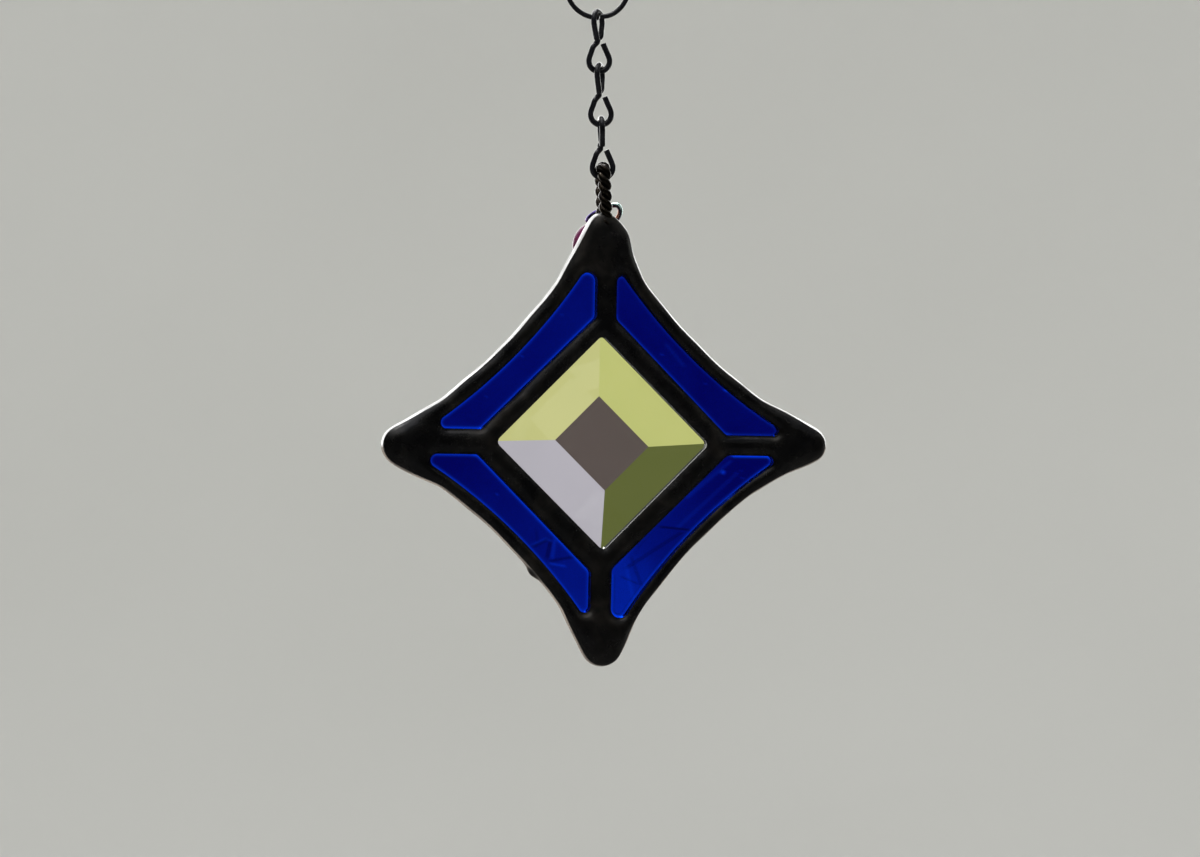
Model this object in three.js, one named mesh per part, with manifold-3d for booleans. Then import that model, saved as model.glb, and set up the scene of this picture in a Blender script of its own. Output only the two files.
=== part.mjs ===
// A small stained glass suncatcher, in millimetres, +Z up.
// +X is to the right and the viewer stands at -Y. The origin is the point inside the top of the
// hanging ring where a hook carries it, so everything else hangs below zero.
import * as THREE from 'three';
import { ConvexGeometry } from 'three/addons/geometries/ConvexGeometry.js';
import { mergeVertices } from 'three/addons/utils/BufferGeometryUtils.js';
import Module from 'manifold-3d';

// ---------------------------------------------------------------- driving dimensions

const contactGap = 0.06; // between two wires that hang on each other
const fitGap = 0.2; // between a piece and the solder that holds it

// Hanging ring: one turn of round wire, cut just right of its lowest point.
const ringInnerRadius = 4.35;
const ringWire = 0.77;
const ringCutFrom = 4; // degrees right of the lowest point
const ringCutWidth = 2.5; // degrees
const ringEndLift = 0.2; // the right-hand end lies a little inside the circle
const ringEndEase = 28; // degrees over which it comes back to the circle

// Chain: figure-of-eight links, each upper loop turned across its lower loop.
const chainWire = 0.82;
const linkLength = 9.66; // outside, end to end
const loopWidth = 3.9; // outside
const waistSpread = 0.6; // where the legs start from the axis, in wire diameters
const waistCross = 0.27; // wire centre to the axis, where it crosses over at the waist
const freeEnd = 0.13; // how far up its leg a loop's free end stops
const upperLoopTurns = [32, 23, 3]; // degrees away from straight across the lower loop
const chainLean = 1.85; // degrees, to the right going down

// Hanger: two wires twisted together, bent over the last link and let into the top tip.
const strandWire = 1.12;
const strandSpread = 0.44; // strand centre from the rope's centre
const twistPitch = 3.2; // rope length of one full turn
const legSpread = 1.55; // rope centre from the panel's middle plane, both legs
const legDepth = 4; // how far the legs reach into the tip
const hangerLean = 2.2; // degrees, to the right going down
const socketRadius = 1.2;

// Panel: four concave sides round a square pattern that stands on its corner.
const sideRadius = 83;
const sideDistance = 20.65; // panel centre to the middle of a side
// Tips in the order right, top, left and bottom.
const tipReaches = [34, 33.6, 33.3, 33.6]; // panel centre to the end of a tip
const tipRadii = [3.4, 2.7, 3.1, 3.2]; // round end of a tip, seen face on
const tipFlanks = [21, 25.6, 24, 24]; // degrees between a tip's straight flank and its axis
const tipRoot = 24.6; // how far out the concave side gives way to the flank
const borderWidth = 2.05; // solder seen along the outer edge
const diamondSeam = 2.95; // solder seen between the clear square and the strips
const spokeSeam = 3.4; // solder seen between two strips
const clearHalfSide = 11.6; // clear square seen inside its seams, centre to side
const clearRound = 0.9; // rounding of its corners
const patternTurn = 1; // degrees, the whole pattern sits slightly turned in its outline
const glassLap = 1.27; // how far the strips run under the solder
// Rounding of an opening's two pointed corners, counterclockwise from the upper right quarter.
const acuteRounds = [[0.8, 0.85], [1.35, 0.9], [0.95, 0.85], [1.35, 0.85]];
const obtuseRound = 1.2; // rounding of its blunt corners

// Solder: a flat outer edge, then domed up to a crest on both faces.
const edgeHalfDepth = 1.95;
const crestHalfDepth = 2.6;
const domeWidth = 0.95;

// Tips: solid domes of solder over the four corners, a bigger one round the hanger's legs.
// Half sizes are across, through and along the tip.
const tipDome = [2.65, 2.8, 3.4];
const tipDomeReaches = [33.8, 33.4, 33.4]; // right, bottom and left, from the panel's centre
const topDome = [3.6, 2.5, 4.2];
const topDomeReach = 33.8;
const topDomeShift = 0.45; // it bulges more on the right
const collarDome = [1.9, 2.4, 3]; // solder drawn up the hanger's legs
const collarReach = 34.5; // panel centre to the top of that solder

// A small drip of solder stands off the far side of the lower left edge.
const dripSize = [0.65, 0.85, 1.6]; // half sizes outwards, through and along the edge
const dripDepth = 1.3; // behind the panel's middle plane
const dripAlong = 6.2; // from the middle of the side, towards the bottom tip
const dripOut = 0.3; // its centre past the side's middle distance

// Glass.
const sheetThickness = 3;
const glassTipReach = 29.3; // the strips' points are ground off this far out
const squareHalfSide = 12.7;
const squareEdge = 2.4; // edge thickness of the bevelled square
const squareThickness = 4.8;
const tableHalfWidth = 4.6; // towards the upper right and the lower left
const tableUpperLeft = 4.95; // towards the upper left
const tableLowerRight = 5.5; // towards the lower right

// Bead and its wire, on the far side of the top tip.
const beadRadius = 3.6;
const beadBore = 0.6;
const beadDrop = 4.85; // below the top of the tip's solder
const beadWire = 0.75;

// Segments.
const wireSides = 8;
const thinWireSides = 6;
const ringSteps = 36;
const linkSteps = 43;
const strandSteps = 54;
const beadWireSteps = 42;
const domeSegments = 12; // round a dome, and half as many and two from end to end
const socketSegments = 12;
const arcSegments = 6;
const pointSpacing = 0.45; // least distance between two points of an outline

// ---------------------------------------------------------------- derived places

const ringRadius = ringInnerRadius + ringWire / 2;
const linkHalf = (linkLength - chainWire) / 2; // waist to the wire centre at either end
const linkPitch = 2 * linkHalf - chainWire - contactGap;
const firstLinkTop = -2 * ringInnerRadius + contactGap + chainWire / 2; // wire centre
const lastLinkBottom = firstLinkTop - 2 * linkPitch - 2 * linkHalf; // wire centre
const ropeRadius = strandSpread + strandWire / 2;
const ropeTop = lastLinkBottom + chainWire / 2 + contactGap + ropeRadius;
const leanSlope = Math.tan(THREE.MathUtils.degToRad(chainLean));
const panelX = (firstLinkTop - lastLinkBottom) * leanSlope;
const panelZ = -72.75;
const tipTop = panelZ + collarReach;
const bendCentre = ropeTop - legSpread; // middle of the half circle over the last link
const legLength = bendCentre - tipTop + legDepth;
const leanRadians = THREE.MathUtils.degToRad(hangerLean);
const hangerShift = (bendCentre - tipTop) * Math.tan(leanRadians);
const sheetHalf = sheetThickness / 2;
const sideCentre = (sideRadius + sideDistance) / Math.SQRT2; // both coordinates of a side's centre
const stripInner = clearHalfSide + diamondSeam; // centre to a strip's straight side
const beadY = tipDome[1] + fitGap + beadRadius;
const beadZ = tipTop - beadDrop;

// ---------------------------------------------------------------- materials

function paint(color, roughness, metalness) {
  return new THREE.MeshStandardMaterial({ color, roughness, metalness });
}

const solderPaint = paint(0x17161a, 0.3, 0.9);
const wirePaint = paint(0x141316, 0.4, 0.9);
const ropePaint = paint(0x231d1b, 0.35, 0.9);
const bluePaint = paint(0x0a1c9c, 0.08, 0);
const clearPaint = paint(0xdfe6da, 0.05, 0);
const plumPaint = paint(0x5a1638, 0.1, 0);
const purplePaint = paint(0x5a3fa8, 0.3, 1);

const suncatcher = new THREE.Group();

function addPiece(parent, name, geometry, material) {
  const mesh = new THREE.Mesh(geometry, material);
  mesh.name = name;
  parent.add(mesh);
  return mesh;
}

// ---------------------------------------------------------------- joining and cutting

const wasm = await Module();
wasm.setup();

function bareGeometry(geometry) {
  const bare = geometry.clone();
  bare.deleteAttribute('normal');
  bare.deleteAttribute('uv');
  return mergeVertices(bare, 1e-5);
}

function toSolid(geometry) {
  const bare = bareGeometry(geometry);
  const vertProperties = new Float32Array(bare.attributes.position.array);
  const triVerts = new Uint32Array(bare.index.array);
  return new wasm.Manifold(new wasm.Mesh({ numProp: 3, vertProperties, triVerts }));
}

function toGeometry(solid) {
  const { vertProperties, triVerts } = solid.getMesh();
  const geometry = new THREE.BufferGeometry();
  geometry.setAttribute('position', new THREE.BufferAttribute(vertProperties, 3));
  geometry.setIndex(new THREE.BufferAttribute(triVerts, 1));
  geometry.computeVertexNormals();
  return geometry;
}

function ellipsoid(halfSizes, centre) {
  const geometry = new THREE.SphereGeometry(1, domeSegments, domeSegments / 2 + 2);
  geometry.rotateX(Math.PI / 2);
  geometry.scale(...halfSizes);
  geometry.translate(...centre);
  return geometry;
}

// ---------------------------------------------------------------- wires

function regularSection(diameter, sides) {
  const section = new THREE.Shape();
  for (let side = 0; side < sides; side += 1) {
    const angle = (2 * Math.PI * side) / sides;
    const x = (diameter / 2) * Math.cos(angle);
    const y = (diameter / 2) * Math.sin(angle);
    if (side === 0) section.moveTo(x, y);
    else section.lineTo(x, y);
  }
  return section;
}

function wireAlong(curve, diameter, steps, sides = wireSides) {
  return new THREE.ExtrudeGeometry(regularSection(diameter, sides), {
    steps,
    extrudePath: curve,
    bevelEnabled: false,
  });
}

// ---------------------------------------------------------------- hanging ring

class CutRing extends THREE.Curve {
  getPoint(t, target = new THREE.Vector3()) {
    const degrees = ringCutFrom + t * (360 - ringCutWidth);
    const ease = Math.max(0, 1 - (t * 360) / ringEndEase);
    const radius = ringRadius - ringEndLift * ease * ease;
    const angle = THREE.MathUtils.degToRad(degrees - 90);
    return target.set(radius * Math.cos(angle), 0, radius * Math.sin(angle) - ringInnerRadius);
  }
}

addPiece(suncatcher, 'hanging_ring', wireAlong(new CutRing(), ringWire, ringSteps), wirePaint);

// ---------------------------------------------------------------- chain

// Points of half a loop, as [offset from the axis, distance from the waist]: a straight leg that
// leaves the waist on the minus side, then a quarter of the way round its tangent circle and on to
// the loop's end.
const loopRadius = (loopWidth - chainWire) / 2;
const loopCentre = linkHalf - loopRadius;
const waistOffset = waistSpread * chainWire;

function legPoint(part) {
  const reach = Math.hypot(waistOffset, loopCentre);
  const lean = Math.atan2(waistOffset, loopCentre) - Math.asin(loopRadius / reach);
  const length = part * Math.sqrt(reach * reach - loopRadius * loopRadius);
  return [-waistOffset + length * Math.sin(lean), length * Math.cos(lean)];
}

// The round end from the top of the first leg over to the top of the other one.
function roundEnd(steps) {
  const [offset, distance] = legPoint(1);
  const first = Math.atan2(distance - loopCentre, offset) + 2 * Math.PI;
  const sweep = 2 * first - Math.PI;
  const points = [];
  for (let step = 0; step <= steps; step += 1) {
    const angle = first - (sweep * step) / steps;
    points.push([loopRadius * Math.cos(angle), loopCentre + loopRadius * Math.sin(angle)]);
  }
  return points;
}

// The wire's centre line: free end at the waist, up the near leg and over, down the far leg,
// across at the waist into the lower loop's left leg, round below and up to the other free end.
function linkCurve(upperTurn) {
  const legParts = [0.35, 0.7];
  const turn = THREE.MathUtils.degToRad(upperTurn);
  const near = new THREE.Vector2(-Math.sin(turn), -Math.cos(turn));
  const mirrored = ([offset, distance]) => [-offset, distance];
  const firstLeg = [freeEnd, ...legParts].map(legPoint);
  const farLeg = [...legParts].reverse().map(legPoint).map(mirrored);
  const points = [];
  for (const [offset, distance] of [...firstLeg, ...roundEnd(10), ...farLeg]) {
    points.push(new THREE.Vector3(-offset * near.x, -offset * near.y, distance));
  }
  const [edge, height] = legPoint(legParts[0]);
  const crossFrom = Math.PI / 2 - turn;
  for (const part of [0.25, 0.5, 0.75]) {
    const angle = crossFrom + part * (Math.PI - crossFrom);
    const rise = 1 - 2 * part;
    const radius = waistCross + Math.abs(rise) * (-edge - waistCross);
    points.push(new THREE.Vector3(radius * Math.cos(angle), radius * Math.sin(angle), rise * height));
  }
  const nearLeg = legParts.map(legPoint);
  const lastLeg = [freeEnd, ...legParts].reverse().map(legPoint).map(mirrored);
  for (const [offset, distance] of [...nearLeg, ...roundEnd(10), ...lastLeg]) {
    points.push(new THREE.Vector3(offset, 0, -distance));
  }
  return new THREE.CatmullRomCurve3(points, false, 'centripetal');
}

const chain = new THREE.Group();
chain.position.z = firstLinkTop;
chain.rotation.y = -THREE.MathUtils.degToRad(chainLean);
suncatcher.add(chain);

upperLoopTurns.forEach((upperTurn, index) => {
  const link = wireAlong(linkCurve(upperTurn), chainWire, linkSteps);
  const mesh = addPiece(chain, `chain_link_${index + 1}`, link, wirePaint);
  mesh.position.z = -linkHalf - index * linkPitch;
});

// ---------------------------------------------------------------- twisted hanger

// One strand of the rope: it winds round a line that goes up the near leg, over in a half
// circle and down the far leg.
class Strand extends THREE.Curve {
  constructor(phase) {
    super();
    this.phase = phase;
  }

  getPoint(t, target = new THREE.Vector3()) {
    const bendLength = Math.PI * legSpread;
    const travelled = t * (2 * legLength + bendLength);
    const bend = THREE.MathUtils.clamp((travelled - legLength) / bendLength, 0, 1) * Math.PI;
    const pastBend = Math.max(0, travelled - legLength - bendLength);
    const below = Math.max(0, legLength - travelled) + pastBend;
    const turn = (2 * Math.PI * travelled) / twistPitch + this.phase;
    const sideways = strandSpread * Math.cos(turn);
    const outwards = legSpread + strandSpread * Math.sin(turn);
    return target.set(sideways, -outwards * Math.cos(bend), outwards * Math.sin(bend) - below);
  }
}

const strands = [0, Math.PI].map((phase) => {
  return toSolid(wireAlong(new Strand(phase), strandWire, strandSteps, thinWireSides));
});
const hanger = addPiece(suncatcher, 'twisted_hanger', toGeometry(strands[0].add(strands[1])), ropePaint);
hanger.position.set(panelX, 0, bendCentre);
hanger.rotation.y = -leanRadians;

// ---------------------------------------------------------------- panel outlines

// Outlines are drawn flat, x to the right and y up, round the panel's centre.
const quarter = Math.PI / 2;
const turnRadians = THREE.MathUtils.degToRad(patternTurn);

// An upright plate, centred on the panel's middle plane.
function uprightPlate(shape, depth, settings = {}) {
  const options = { depth, bevelEnabled: false, curveSegments: arcSegments, ...settings };
  const plate = new THREE.ExtrudeGeometry(shape, options);
  plate.translate(0, 0, -depth / 2);
  plate.rotateX(quarter);
  return plate;
}

// Four concave sides, each running out along straight flanks into two round tips.
function panelOutline() {
  const origin = new THREE.Vector2();
  const rootX = tipRoot - sideCentre;
  const rootY = -Math.sqrt(sideRadius * sideRadius - rootX * rootX);
  const from = Math.atan2(rootY, rootX);
  const to = Math.atan2(rootX, rootY);
  const outline = new THREE.Shape();
  for (let side = 0; side < 4; side += 1) {
    const angle = side * quarter;
    const radius = tipRadii[side];
    const flank = quarter - THREE.MathUtils.degToRad(tipFlanks[side]);
    const tip = new THREE.Vector2(tipReaches[side] - radius, 0).rotateAround(origin, angle);
    const centre = new THREE.Vector2(sideCentre, sideCentre).rotateAround(origin, angle);
    outline.absarc(tip.x, tip.y, radius, angle - flank, angle + flank, false);
    outline.absarc(centre.x, centre.y, sideRadius, angle + from, angle + to, true);
  }
  return outline;
}

// The rounded point of an opening beside the upper spoke: its centre, and where it meets the arc.
function openingPoint(round) {
  const x = spokeSeam / 2 + round;
  const run = sideCentre - x;
  const reach = sideRadius + borderWidth + round;
  const y = sideCentre - Math.sqrt(reach * reach - run * run);
  return { x, y, toArc: Math.atan2(sideCentre - y, run) };
}

// The glass seen in the upper right quarter, its corners rounded: the right point, the upper one.
function openingOutline([rightRound, upperRound]) {
  const arcRadius = sideRadius + borderWidth;
  const upper = openingPoint(upperRound);
  const right = openingPoint(rightRound);
  const bluntX = spokeSeam / 2 + obtuseRound;
  const bluntY = Math.SQRT2 * (stripInner + obtuseRound) - bluntX;
  const arcFrom = 2 * quarter + upper.toArc;
  const arcTo = 3 * quarter - right.toArc;
  const opening = new THREE.Path();
  opening.absarc(bluntX, bluntY, obtuseRound, 2.5 * quarter, 2 * quarter, true);
  opening.absarc(upper.x, upper.y, upperRound, 2 * quarter, upper.toArc, true);
  opening.absarc(sideCentre, sideCentre, arcRadius, arcFrom, arcTo, false);
  opening.absarc(right.y, right.x, rightRound, quarter - right.toArc, -quarter, true);
  opening.absarc(bluntY, bluntX, obtuseRound, 3 * quarter, 2.5 * quarter, true);
  return opening;
}

// The sheet glass of the upper right quarter, grown by a margin, with its points ground off.
function stripOutline(margin) {
  const near = spokeSeam / 2 - glassLap - margin;
  const inner = Math.SQRT2 * (stripInner - glassLap - margin) - near;
  const tip = glassTipReach + margin;
  const arcRadius = sideRadius + borderWidth - glassLap - margin;
  const rise = sideCentre - tip;
  const tipX = sideCentre - Math.sqrt(arcRadius * arcRadius - rise * rise);
  const arcStart = Math.atan2(tip - sideCentre, tipX - sideCentre);
  const arcEnd = Math.atan2(tipX - sideCentre, tip - sideCentre);
  const outline = new THREE.Shape();
  outline.moveTo(near, inner);
  outline.lineTo(near, tip);
  outline.absarc(sideCentre, sideCentre, arcRadius, arcStart, arcEnd, false);
  outline.lineTo(tip, near);
  outline.lineTo(inner, near);
  outline.closePath();
  return outline;
}

// The clear glass seen in the middle: a square on its corner with rounded corners.
function clearOutline() {
  const inset = (clearHalfSide - clearRound) * Math.SQRT2;
  const outline = new THREE.Path();
  for (let side = 0; side < 4; side += 1) {
    const angle = side * quarter;
    const corner = new THREE.Vector2(inset, 0).rotateAround(new THREE.Vector2(), angle);
    outline.absarc(corner.x, corner.y, clearRound, angle - quarter / 2, angle + quarter / 2, false);
  }
  return outline;
}

// A square standing on its corner, as a ring of four points.
function diamond(halfSide) {
  const reach = halfSide * Math.SQRT2;
  return [0, 1, 2, 3].map((corner) => {
    return new THREE.Vector2(reach, 0).rotateAround(new THREE.Vector2(), corner * quarter);
  });
}

function turned(points, angle) {
  const centre = new THREE.Vector2();
  return points.map((point) => point.clone().rotateAround(centre, angle));
}

// The points of a closed path, none nearer to the one before it than the spacing.
function loopPoints(path) {
  const kept = [];
  for (const point of path.getPoints(arcSegments)) {
    const before = kept.at(-1);
    if (!before || point.distanceTo(before) > pointSpacing) kept.push(point);
  }
  if (kept.at(-1).distanceTo(kept[0]) < pointSpacing) kept.pop();
  return kept;
}

const panel = new THREE.Group();
panel.position.set(panelX, 0, panelZ);
suncatcher.add(panel);

// ---------------------------------------------------------------- solder frame

// A plate whose edge is square up to the edge depth and then curves, inwards for the solder itself
// and outwards for what is cut out of it, so that both leave a domed bead of solder.
function domedPlate(points, inwards) {
  return uprightPlate(new THREE.Shape(points), 2 * edgeHalfDepth, {
    bevelEnabled: true,
    bevelThickness: crestHalfDepth - edgeHalfDepth,
    bevelSize: inwards * domeWidth,
    bevelOffset: -inwards * domeWidth,
    bevelSegments: 2,
  });
}

function openings() {
  const cuts = [domedPlate(turned(loopPoints(clearOutline()), -turnRadians), -1)];
  acuteRounds.forEach((rounds, side) => {
    const opening = loopPoints(openingOutline(rounds));
    cuts.push(domedPlate(turned(opening, side * quarter - turnRadians), -1));
  });
  return cuts;
}

function tipDomes() {
  const domes = tipDomeReaches.map((reach, index) => {
    const dome = ellipsoid(tipDome, [0, 0, reach - tipDome[2]]);
    dome.rotateY((index + 1) * quarter);
    return dome;
  });
  domes.push(ellipsoid(topDome, [topDomeShift, 0, topDomeReach - topDome[2]]));
  domes.push(ellipsoid(collarDome, [hangerShift, 0, collarReach - collarDome[2]]));
  return domes;
}

function drip() {
  const geometry = ellipsoid(dripSize, [-(sideDistance + dripOut), dripDepth, -dripAlong]);
  geometry.rotateY(-quarter / 2);
  return geometry;
}

function glassPockets() {
  const depth = sheetThickness + 2 * fitGap;
  const pockets = [];
  for (let side = 0; side < 4; side += 1) {
    const pocket = uprightPlate(stripOutline(fitGap), depth);
    pocket.rotateY(turnRadians - side * quarter);
    pockets.push(pocket);
  }
  const square = uprightPlate(new THREE.Shape(diamond(squareHalfSide + fitGap)), depth);
  square.rotateY(turnRadians);
  pockets.push(square);
  return pockets;
}

function legSockets() {
  const length = 2 * legDepth;
  const floor = -legLength - strandWire / 2;
  return [-legSpread, legSpread].map((y) => {
    const socket = new THREE.CylinderGeometry(socketRadius, socketRadius, length, socketSegments);
    socket.rotateX(quarter);
    socket.translate(0, y, floor + length / 2);
    socket.rotateY(-leanRadians);
    socket.translate(0, 0, bendCentre - panelZ);
    return socket;
  });
}

let solder = toSolid(domedPlate(loopPoints(panelOutline()), 1));
for (const cut of openings()) solder = solder.subtract(toSolid(cut));
for (const lump of [...tipDomes(), drip()]) solder = solder.add(toSolid(lump));
for (const hollow of [...glassPockets(), ...legSockets()]) solder = solder.subtract(toSolid(hollow));
addPiece(panel, 'solder_frame', toGeometry(solder), solderPaint);

// ---------------------------------------------------------------- glass

// A flat back towards the viewer, four sloping bevels and a table on the far side.
function bevelledSquare() {
  const back = -sheetHalf;
  const rim = back + squareEdge;
  const table = back + squareThickness;
  const corners = [];
  for (const point of diamond(squareHalfSide)) {
    corners.push(new THREE.Vector3(point.x, back, point.y));
    corners.push(new THREE.Vector3(point.x, rim, point.y));
  }
  for (const right of [-tableHalfWidth, tableHalfWidth]) {
    for (const left of [-tableLowerRight, tableUpperLeft]) {
      const x = (right - left) / Math.SQRT2;
      const z = (right + left) / Math.SQRT2;
      corners.push(new THREE.Vector3(x, table, z));
    }
  }
  return new ConvexGeometry(corners);
}

const pattern = new THREE.Group();
pattern.rotation.y = turnRadians;
panel.add(pattern);

addPiece(pattern, 'bevelled_centre', bevelledSquare(), clearPaint);

const paneNames = ['upper_right', 'upper_left', 'lower_left', 'lower_right'];
paneNames.forEach((place, side) => {
  const sheet = uprightPlate(stripOutline(0), sheetThickness);
  const pane = addPiece(pattern, `blue_pane_${place}`, sheet, bluePaint);
  pane.rotation.y = -side * quarter;
});

// ---------------------------------------------------------------- bead and its wire

function boredBead() {
  const opening = Math.asin(beadBore / beadRadius);
  const steps = 8;
  const profile = [];
  for (let step = 0; step <= steps; step += 1) {
    const angle = opening + ((Math.PI - 2 * opening) * step) / steps;
    profile.push(new THREE.Vector2(beadRadius * Math.sin(angle), -beadRadius * Math.cos(angle)));
  }
  profile.push(profile[0].clone());
  const bead = new THREE.LatheGeometry(profile, 18);
  bead.rotateX(quarter);
  return bead;
}

// Both ends of the wire come down on the far face of the tip. From the lower end it turns up
// through the bead, arches over to the left, passes behind the hanger and curls over at the right.
// Each point is [right of the bead, behind the panel's middle plane, above the bead].
const beadWireRoute = [
  [0, 3.0, -4.45],
  [0, 4.6, -4.65],
  [0, beadY - 0.5, -4.4],
  [0, beadY, -3.6],
  [0, beadY, 0],
  [0, beadY, 3.5],
  [-0.3, beadY - 0.2, 4.1],
  [-1.3, 5.9, 4.3],
  [-1.0, 5.2, 4.95],
  [0.1, 4.4, 5.75],
  [1.2, 4.1, 6.05],
  [2.3, 3.9, 6.1],
  [2.9, 3.75, 6.0],
  [3.2, 3.6, 5.4],
  [3.1, 3.5, 4.65],
  [2.6, 3.4, 3.9],
  [1.9, 3.35, 3.2],
];

const beadPlace = new THREE.Group();
beadPlace.position.set(panelX, 0, beadZ);
suncatcher.add(beadPlace);

const bead = addPiece(beadPlace, 'bead', boredBead(), plumPaint);
bead.position.y = beadY;

const wirePoints = beadWireRoute.map((point) => new THREE.Vector3(...point));
const wireCurve = new THREE.CatmullRomCurve3(wirePoints, false, 'centripetal');
const purpleWire = wireAlong(wireCurve, beadWire, beadWireSteps, thinWireSides);
addPiece(beadPlace, 'bead_wire', purpleWire, purplePaint);

export default suncatcher;
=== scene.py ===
"""Stained glass suncatcher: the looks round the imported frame.

Sizes are in millimetres, turned into metres where a mesh is made. +X is to the right, the
viewer stands at -Y and +Z is up, as in the frame.
"""

import math

import bpy
import numpy as np
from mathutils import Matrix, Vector
from mathutils.geometry import delaunay_2d_cdt


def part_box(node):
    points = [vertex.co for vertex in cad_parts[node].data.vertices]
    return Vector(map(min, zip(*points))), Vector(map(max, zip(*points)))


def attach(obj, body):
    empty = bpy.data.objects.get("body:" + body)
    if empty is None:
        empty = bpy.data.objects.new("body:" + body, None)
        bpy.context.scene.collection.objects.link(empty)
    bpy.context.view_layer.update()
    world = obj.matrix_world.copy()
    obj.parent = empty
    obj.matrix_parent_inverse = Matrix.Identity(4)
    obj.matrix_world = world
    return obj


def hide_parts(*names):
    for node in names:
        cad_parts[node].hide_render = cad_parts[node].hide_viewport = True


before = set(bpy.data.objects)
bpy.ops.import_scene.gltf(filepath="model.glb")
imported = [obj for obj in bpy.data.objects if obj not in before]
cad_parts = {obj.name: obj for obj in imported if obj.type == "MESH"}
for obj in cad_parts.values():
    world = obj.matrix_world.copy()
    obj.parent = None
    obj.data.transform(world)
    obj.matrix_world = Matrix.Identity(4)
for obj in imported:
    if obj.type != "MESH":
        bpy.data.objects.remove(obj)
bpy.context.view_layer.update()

MM = 0.001
QUARTER = math.pi / 2
RIGHT, TOP, LEFT, BOTTOM = 0, 1, 2, 3
UPPER_RIGHT, UPPER_LEFT, LOWER_LEFT, LOWER_RIGHT = 0, 1, 2, 3

# ---- places from the frame

square_low, square_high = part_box("bevelled_centre")
PANEL_X = (square_low[0] + square_high[0]) / 2 / MM
PANEL_Z = (square_low[2] + square_high[2]) / 2 / MM

# ---- sizes

# The sheets, and the clear square, which is ground thin towards its edge.
SHEET = 3.0
SQUARE_EDGE = 2.4
SQUARE_THICK = 4.8
SQUARE_HALF = 12.45
SQUARE_CORNER = 0.15
TABLE_HALF = 4.9
TABLE_SIDE = [4.7, 5.25, 4.65, 5.5]

# The panel's outline. Lists by side start at the upper right and lists by tip at the right
# tip, and both go round counterclockwise.
SIDE_RADIUS = 83.0
SIDE_DISTANCE = [20.95, 21.13, 20.96, 21.08]
TIP_REACH = [34.62, 34.66, 33.35, 33.85]
TIP_RADIUS = [2.9, 2.18, 3.23, 3.2]
# Degrees between a tip's axis and its flanks, before and after it.
TIP_FLANK = [(25.0, 20.0), (25.1, 31.2), (24.2, 24.7), (25.3, 21.6)]
TIP_SHIFT = [0.45, -0.05, -0.22, 0.03]
TIP_ROOT = 24.6
OUTLINE_EASE = 0.7
OUTLINE_WAVER = 0.05
# Where the solder swells past the plain outline: place, how far, and over what reach.
BULGES = [((3.3, 31.2), 1.0, 1.9), ((24.3, -6.1), 0.35, 1.6), ((5.3, -28), -0.25, 2.0)]

# The pattern inside the outline: widths of solder, and the roundness of the glass's corners.
PATTERN_TURN = math.radians(-1.2)
PATTERN_SHIFT = -0.1
BORDER = [2.39, 2.29, 2.01, 2.02]
SPOKE_HALF = [1.5, 1.51, 1.88, 1.6]
STRIP_INNER = [14.24, 14.39, 14.71, 14.41]
CLEAR_SIDE = [11.2, 11.78, 11.38, 11.33]
CLEAR_TURN = math.radians(-0.5)
POINT_ROUND = [(0.8, 0.85), (1.35, 0.95), (1.0, 0.85), (1.35, 0.85)]
BLUNT_ROUND = 1.2
CLEAR_ROUND = 0.85

# The solder: how far it laps over the glass, and its depth at the edge and at its crest.
STRIP_LAP = 1.0
CLEAR_LAP = 0.65
POCKET_GAP = 0.03
FOIL = 0.07
EDGE_DEPTH = 1.72
CREST_DEPTH = 2.72
CAPILLARY = 0.78
EDGE_SLOPE = math.radians(45)
CLEAR_LIP = 0.4

# How far the front arris is set in, and how much less towards the upper left.
ARRIS = 0.22
ARRIS_SHARPER = 0.10
# How much the outer edge leans: all round, and more or less of it by the way it faces.
LEAN = 0.03
LEAN_RIGHT = 0.15
LEAN_UPPER_RIGHT = 0.03
LEAN_DOWN = 0.09
LEAN_LEFT_LESS = 0.06
DRIP = (-10.6, -19.3)
DRIP_REACH = 0.8
DRIP_SIZE = 0.45

# Steps of the meshes: across the solder, across a sheet, and along an outline.
FINE = 0.27
SHEET_STEP = 0.17
LOOP_STEP = 0.25


# ---- flat outlines

def unit(angle):
    return np.array([math.cos(angle), math.sin(angle)])


def arc(centre, radius, start, end, step=0.15):
    count = max(3, int(abs(end - start) * radius / step))
    angles = np.linspace(start, end, count)
    return np.asarray(centre) + radius * np.column_stack([np.cos(angles), np.sin(angles)])


def resample(loop, step):
    """The loop as evenly spaced points."""
    closed = np.vstack([loop, loop[:1]])
    lengths = np.r_[0, np.cumsum(np.linalg.norm(np.diff(closed, axis=0), axis=1))]
    count = int(round(lengths[-1] / step))
    places = np.arange(count) * lengths[-1] / count
    return np.column_stack([np.interp(places, lengths, closed[:, axis]) for axis in (0, 1)])


def softened(loop, reach, step=0.15):
    """The loop with its bends eased over that reach."""
    loop = resample(loop, step)
    half = int(3 * reach / step)
    weights = np.exp(-0.5 * (np.arange(-half, half + 1) * step / reach) ** 2)
    weights /= weights.sum()
    padded = np.vstack([loop[-half:], loop, loop[:half]])
    return np.column_stack([np.convolve(padded[:, axis], weights, "valid") for axis in (0, 1)])


def normals_of(loop):
    """Outward normals of a counterclockwise loop."""
    along = np.roll(loop, -1, axis=0) - np.roll(loop, 1, axis=0)
    along /= np.linalg.norm(along, axis=1)[:, None]
    return np.column_stack([along[:, 1], -along[:, 0]])


def near_spot(points, spot, reach):
    return np.exp(-((points - np.asarray(spot)) ** 2).sum(axis=1) / (2 * reach ** 2))


def side_centre(side):
    return (SIDE_RADIUS + SIDE_DISTANCE[side]) * unit(QUARTER / 2 + side * QUARTER)


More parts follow.
